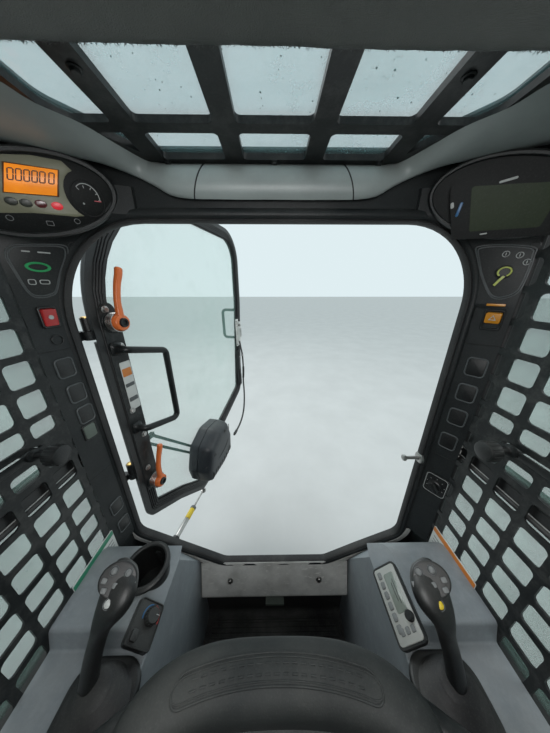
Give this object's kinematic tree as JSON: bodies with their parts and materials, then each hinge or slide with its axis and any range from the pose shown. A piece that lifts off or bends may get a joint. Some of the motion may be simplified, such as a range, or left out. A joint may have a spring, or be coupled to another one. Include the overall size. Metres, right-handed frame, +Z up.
{
  "type": "skid steer loader operator cab",
  "caption": "Framed operator's cab of a skid steer loader, with open glass door, side grilles, roof window, seat, joysticks and lap bar.",
  "frame": {"origin": "on the underside of the base frame, midway between its side rails and on its middle cross rail", "axes": "+Z up, -Y towards the machine's front, where the door is, +X towards the operator's left hand"},
  "size_m": [0.98, 1.9864, 1.502],
  "materials": {
    "shell_paint": "satin",
    "grille_paint": "satin",
    "worn_steel": "worn",
    "floor_black": "matt",
    "dark_plastic": "grained",
    "grey_plastic": "grained",
    "black_plastic": "matt",
    "header_grey": "satin",
    "silver_plastic": "satin",
    "felt": "felt",
    "seat_vinyl": "grained",
    "pad_rubber": "moulded",
    "seal_rubber": "matt",
    "lever_orange": "satin",
    "steel": "bare",
    "stay_yellow": "gloss",
    "belt_webbing": "woven",
    "lamp_lens": "clear",
    "glass_clear": "clear",
    "glass_green": "tinted"
  },
  "bodies": {
    "cab": {"base_frame": "shell_paint", "pivot_lugs": "shell_paint", "side_frame_left": "shell_paint", "side_frame_right": "shell_paint", "side_panels": "shell_paint", "side_grille_left": "grille_paint", "side_grille_right": "grille_paint", "side_window_frames": "black_plastic", "side_glass": "glass_green", "front_panel": "dark_plastic", "door_seal": "seal_rubber", "front_sill": "worn_steel", "foot_well": "floor_black", "seat_deck": "shell_paint", "rear_wall": "shell_paint", "rear_window_frame": "shell_paint", "rear_glass": "glass_green", "roof_panel": "shell_paint", "roof_grid": "grille_paint", "roof_glass": "glass_clear", "headliner": "felt", "header_moulding": "header_grey", "door_brackets": "shell_paint", "striker_pin": "steel", "window_latches": "black_plastic", "pillar_trim_left": "dark_plastic", "pillar_trim_right": "dark_plastic", "gauge_pod_left": "dark_plastic", "gauge_pod_right": "black_plastic", "console_left": "grey_plastic", "console_right": "grey_plastic", "cup_holder": "black_plastic", "climate_panel": "black_plastic", "radio": "silver_plastic", "joystick_left": "black_plastic", "joystick_right": "black_plastic", "seat_base": "black_plastic", "seat_cushion": "seat_vinyl", "seat_back": "seat_vinyl", "seat_belt": "belt_webbing", "work_lamps": "lamp_lens", "lap_bar_pivots": "steel"},
    "door": {"door_frame": "black_plastic", "door_glass": "glass_green", "door_side_plate": "grille_paint", "door_levers": "lever_orange", "door_grab_handle": "grille_paint", "door_latch": "worn_steel", "door_lock_bar": "black_plastic", "door_outer_handle": "grille_paint", "door_cable": "black_plastic", "wiper_motor_cover": "black_plastic", "wiper_spindles": "steel"},
    "wiper_arm": {"wiper_arm": "grille_paint"},
    "wiper_link": {"wiper_link": "grille_paint"},
    "wiper_blade": {"wiper_blade": "seal_rubber"},
    "stay_tube": {"stay_tube": "stay_yellow"},
    "stay_rod": {"stay_rod": "steel"},
    "lap_bar": {"lap_bar_arms": "grille_paint", "lap_bar_pad": "pad_rubber"}
  },
  "joints": [
    {"name": "door_hinge", "type": "hinge", "parent": "cab", "child": "door", "pos_m": [0.428, -0.5875, 0.9], "axis": [0, 0, 1], "range_deg": [-75.5, 17]},
    {"name": "stay_swing", "type": "hinge", "parent": "cab", "child": "stay_tube", "pos_m": [0.3959, -0.60575, 0.3], "axis": [0, 0, 1], "range_deg": [-87, 20]},
    {"name": "stay_slide", "type": "slide", "parent": "stay_tube", "child": "stay_rod", "axis": [-0.2004, -0.9797, 0], "range_m": [-0.013, 0.004]},
    {"name": "wiper_swing", "type": "hinge", "parent": "door", "child": "wiper_arm", "pos_m": [0.36337, -0.87136, 0.508], "axis": [0.9681, -0.2504, 0], "range_deg": [0, 85]},
    {"name": "wiper_link_swing", "type": "hinge", "parent": "door", "child": "wiper_link", "pos_m": [0.35435, -0.90621, 0.508], "axis": [0.9681, -0.2504, 0], "range_deg": [0, 86]},
    {"name": "wiper_blade_turn", "type": "hinge", "parent": "wiper_arm", "child": "wiper_blade", "pos_m": [0.42071, -0.64965, 0.762], "axis": [0.9681, -0.2504, 0], "range_deg": [-86, 0]},
    {"name": "lap_bar_lift", "type": "hinge", "parent": "cab", "child": "lap_bar", "pos_m": [0, 0.15, 0.9], "axis": [-1, 0, 0], "range_deg": [0, 85]}
  ],
  "couplings": [
    {"joint": "stay_swing", "follows": "door_hinge", "ratio": 1.13},
    {"joint": "stay_slide", "follows": "door_hinge", "m_per_rad": 0.008594},
    {"joint": "wiper_link_swing", "follows": "wiper_swing", "ratio": 1},
    {"joint": "wiper_blade_turn", "follows": "wiper_swing", "ratio": -1}
  ]
}
